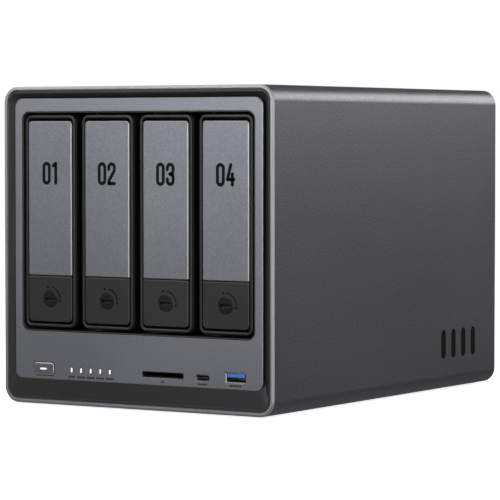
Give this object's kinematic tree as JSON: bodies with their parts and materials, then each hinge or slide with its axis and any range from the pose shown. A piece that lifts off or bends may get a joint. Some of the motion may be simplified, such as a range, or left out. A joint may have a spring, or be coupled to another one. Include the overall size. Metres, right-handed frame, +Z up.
{
  "type": "network storage enclosure",
  "caption": "Desktop network storage box: metal sleeve, grey front with pull-out drive trays that lever open, front ports, and a fan behind a pull-off rear mesh.",
  "frame": {"origin": "on the surface it stands on, under the middle of the box", "axes": "+X right as seen from the front, front faces -Y, +Z up"},
  "size_m": [0.178, 0.257, 0.178],
  "materials": {
    "anodised_sleeve": "fine bead-blasted dark grey anodising",
    "grey_panel": "satin mid grey anodising",
    "grey_handle": "satin mid grey anodising",
    "black_plastic": "fine moulded texture",
    "tray_plastic": "fine moulded texture",
    "button_plastic": "fine moulded texture",
    "lock_plastic": "smooth moulded",
    "rotor_plastic": "smooth moulded",
    "zinc_sheet": "zinc-plated sheet",
    "rear_plate": "black powder coat",
    "cover_mesh": "black powder coat",
    "screw_steel": "plated",
    "brass_parts": "turned",
    "heatsink_aluminium": "extruded, plain",
    "port_shell": "nickel-plated",
    "circuit_board": "solder mask",
    "connector_plastic": "moulded",
    "blue_plastic": "moulded",
    "foot_rubber": "soft matt rubber",
    "lit_lens": "lit diffuser"
  },
  "bodies": {
    "housing": {"outer_sleeve": "anodised_sleeve", "rubber_feet": "foot_rubber", "front_bezel": "black_plastic", "front_panel": "grey_panel", "cage_floor": "zinc_sheet", "cage_roof": "zinc_sheet", "cage_sides": "zinc_sheet", "bay_dividers": "zinc_sheet", "bay_guides": "black_plastic", "backplane_board": "circuit_board", "drive_connectors": "connector_plastic", "mainboard": "circuit_board", "board_standoffs": "brass_parts", "processor_heatsink": "heatsink_aluminium", "memory_module": "circuit_board", "ssd_sockets": "connector_plastic", "power_supply": "zinc_sheet", "power_inlet": "connector_plastic", "rear_panel": "rear_plate", "rear_panel_screws": "screw_steel", "fan_frame": "black_plastic", "fan_screws": "screw_steel", "lan_ports": "port_shell", "hdmi_port": "port_shell", "rear_usb_ports": "port_shell", "bottom_cover": "rear_plate", "bottom_cover_screws": "screw_steel", "front_port_board": "circuit_board", "power_switch": "connector_plastic", "status_lights": "lit_lens", "card_slot": "connector_plastic", "usb_c_port": "port_shell", "usb_a_port": "port_shell", "usb_a_tongue": "blue_plastic"},
    "fan": {"fan_rotor": "rotor_plastic"},
    "power_button": {"power_button": "grey_panel", "power_button_light": "lit_lens"},
    "reset_button": {"reset_button": "connector_plastic"},
    "rear_cover": {"rear_cover_frame": "rear_plate", "rear_cover_mesh": "cover_mesh"},
    "tray_1": {"tray_1_frame": "tray_plastic", "tray_1_hinge_pin": "screw_steel"},
    "handle_1": {"tray_1_handle": "grey_handle"},
    "latch_1": {"tray_1_button": "button_plastic"},
    "lock_1": {"tray_1_lock": "lock_plastic"},
    "tray_2": {"tray_2_frame": "tray_plastic", "tray_2_hinge_pin": "screw_steel"},
    "handle_2": {"tray_2_handle": "grey_handle"},
    "latch_2": {"tray_2_button": "button_plastic"},
    "lock_2": {"tray_2_lock": "lock_plastic"},
    "tray_3": {"tray_3_frame": "tray_plastic", "tray_3_hinge_pin": "screw_steel"},
    "handle_3": {"tray_3_handle": "grey_handle"},
    "latch_3": {"tray_3_button": "button_plastic"},
    "lock_3": {"tray_3_lock": "lock_plastic"},
    "tray_4": {"tray_4_frame": "tray_plastic", "tray_4_hinge_pin": "screw_steel"},
    "handle_4": {"tray_4_handle": "grey_handle"},
    "latch_4": {"tray_4_button": "button_plastic"},
    "lock_4": {"tray_4_lock": "lock_plastic"}
  },
  "joints": [
    {"name": "fan_spin", "type": "hinge", "parent": "housing", "child": "fan", "pos_m": [0, 0.1124, 0.104], "axis": [0, 1, 0], "continuous": true},
    {"name": "power_press", "type": "slide", "parent": "housing", "child": "power_button", "axis": [0, 1, 0], "range_m": [0, 0.001], "stiffness_N_per_m": 400},
    {"name": "reset_press", "type": "slide", "parent": "housing", "child": "reset_button", "axis": [0, -1, 0], "range_m": [0, 0.001], "stiffness_N_per_m": 300},
    {"name": "rear_cover_pull", "type": "slide", "parent": "housing", "child": "rear_cover", "axis": [0, 1, 0], "range_m": [0, 0.06]},
    {"name": "tray_1_slide", "type": "slide", "parent": "housing", "child": "tray_1", "axis": [0, -1, 0], "range_m": [0, 0.18]},
    {"name": "handle_1_swing", "type": "hinge", "parent": "tray_1", "child": "handle_1", "pos_m": [-0.05797, -0.1245, 0.1545], "axis": [-1, 0, 0], "range_deg": [0, 50]},
    {"name": "latch_1_press", "type": "slide", "parent": "tray_1", "child": "latch_1", "axis": [0, 1, 0], "range_m": [0, 0.002], "stiffness_N_per_m": 500},
    {"name": "lock_1_turn", "type": "hinge", "parent": "latch_1", "child": "lock_1", "pos_m": [-0.05797, -0.1276, 0.0597], "axis": [0, -1, 0], "range_deg": [0, 90]},
    {"name": "tray_2_slide", "type": "slide", "parent": "housing", "child": "tray_2", "axis": [0, -1, 0], "range_m": [0, 0.18]},
    {"name": "handle_2_swing", "type": "hinge", "parent": "tray_2", "child": "handle_2", "pos_m": [-0.01932, -0.1245, 0.1545], "axis": [-1, 0, 0], "range_deg": [0, 50]},
    {"name": "latch_2_press", "type": "slide", "parent": "tray_2", "child": "latch_2", "axis": [0, 1, 0], "range_m": [0, 0.002], "stiffness_N_per_m": 500},
    {"name": "lock_2_turn", "type": "hinge", "parent": "latch_2", "child": "lock_2", "pos_m": [-0.01932, -0.1276, 0.0597], "axis": [0, -1, 0], "range_deg": [0, 90]},
    {"name": "tray_3_slide", "type": "slide", "parent": "housing", "child": "tray_3", "axis": [0, -1, 0], "range_m": [0, 0.18]},
    {"name": "handle_3_swing", "type": "hinge", "parent": "tray_3", "child": "handle_3", "pos_m": [0.01932, -0.1245, 0.1545], "axis": [-1, 0, 0], "range_deg": [0, 50]},
    {"name": "latch_3_press", "type": "slide", "parent": "tray_3", "child": "latch_3", "axis": [0, 1, 0], "range_m": [0, 0.002], "stiffness_N_per_m": 500},
    {"name": "lock_3_turn", "type": "hinge", "parent": "latch_3", "child": "lock_3", "pos_m": [0.01932, -0.1276, 0.0597], "axis": [0, -1, 0], "range_deg": [0, 90]},
    {"name": "tray_4_slide", "type": "slide", "parent": "housing", "child": "tray_4", "axis": [0, -1, 0], "range_m": [0, 0.18]},
    {"name": "handle_4_swing", "type": "hinge", "parent": "tray_4", "child": "handle_4", "pos_m": [0.05797, -0.1245, 0.1545], "axis": [-1, 0, 0], "range_deg": [0, 50]},
    {"name": "latch_4_press", "type": "slide", "parent": "tray_4", "child": "latch_4", "axis": [0, 1, 0], "range_m": [0, 0.002], "stiffness_N_per_m": 500},
    {"name": "lock_4_turn", "type": "hinge", "parent": "latch_4", "child": "lock_4", "pos_m": [0.05797, -0.1276, 0.0597], "axis": [0, -1, 0], "range_deg": [0, 90]}
  ]
}
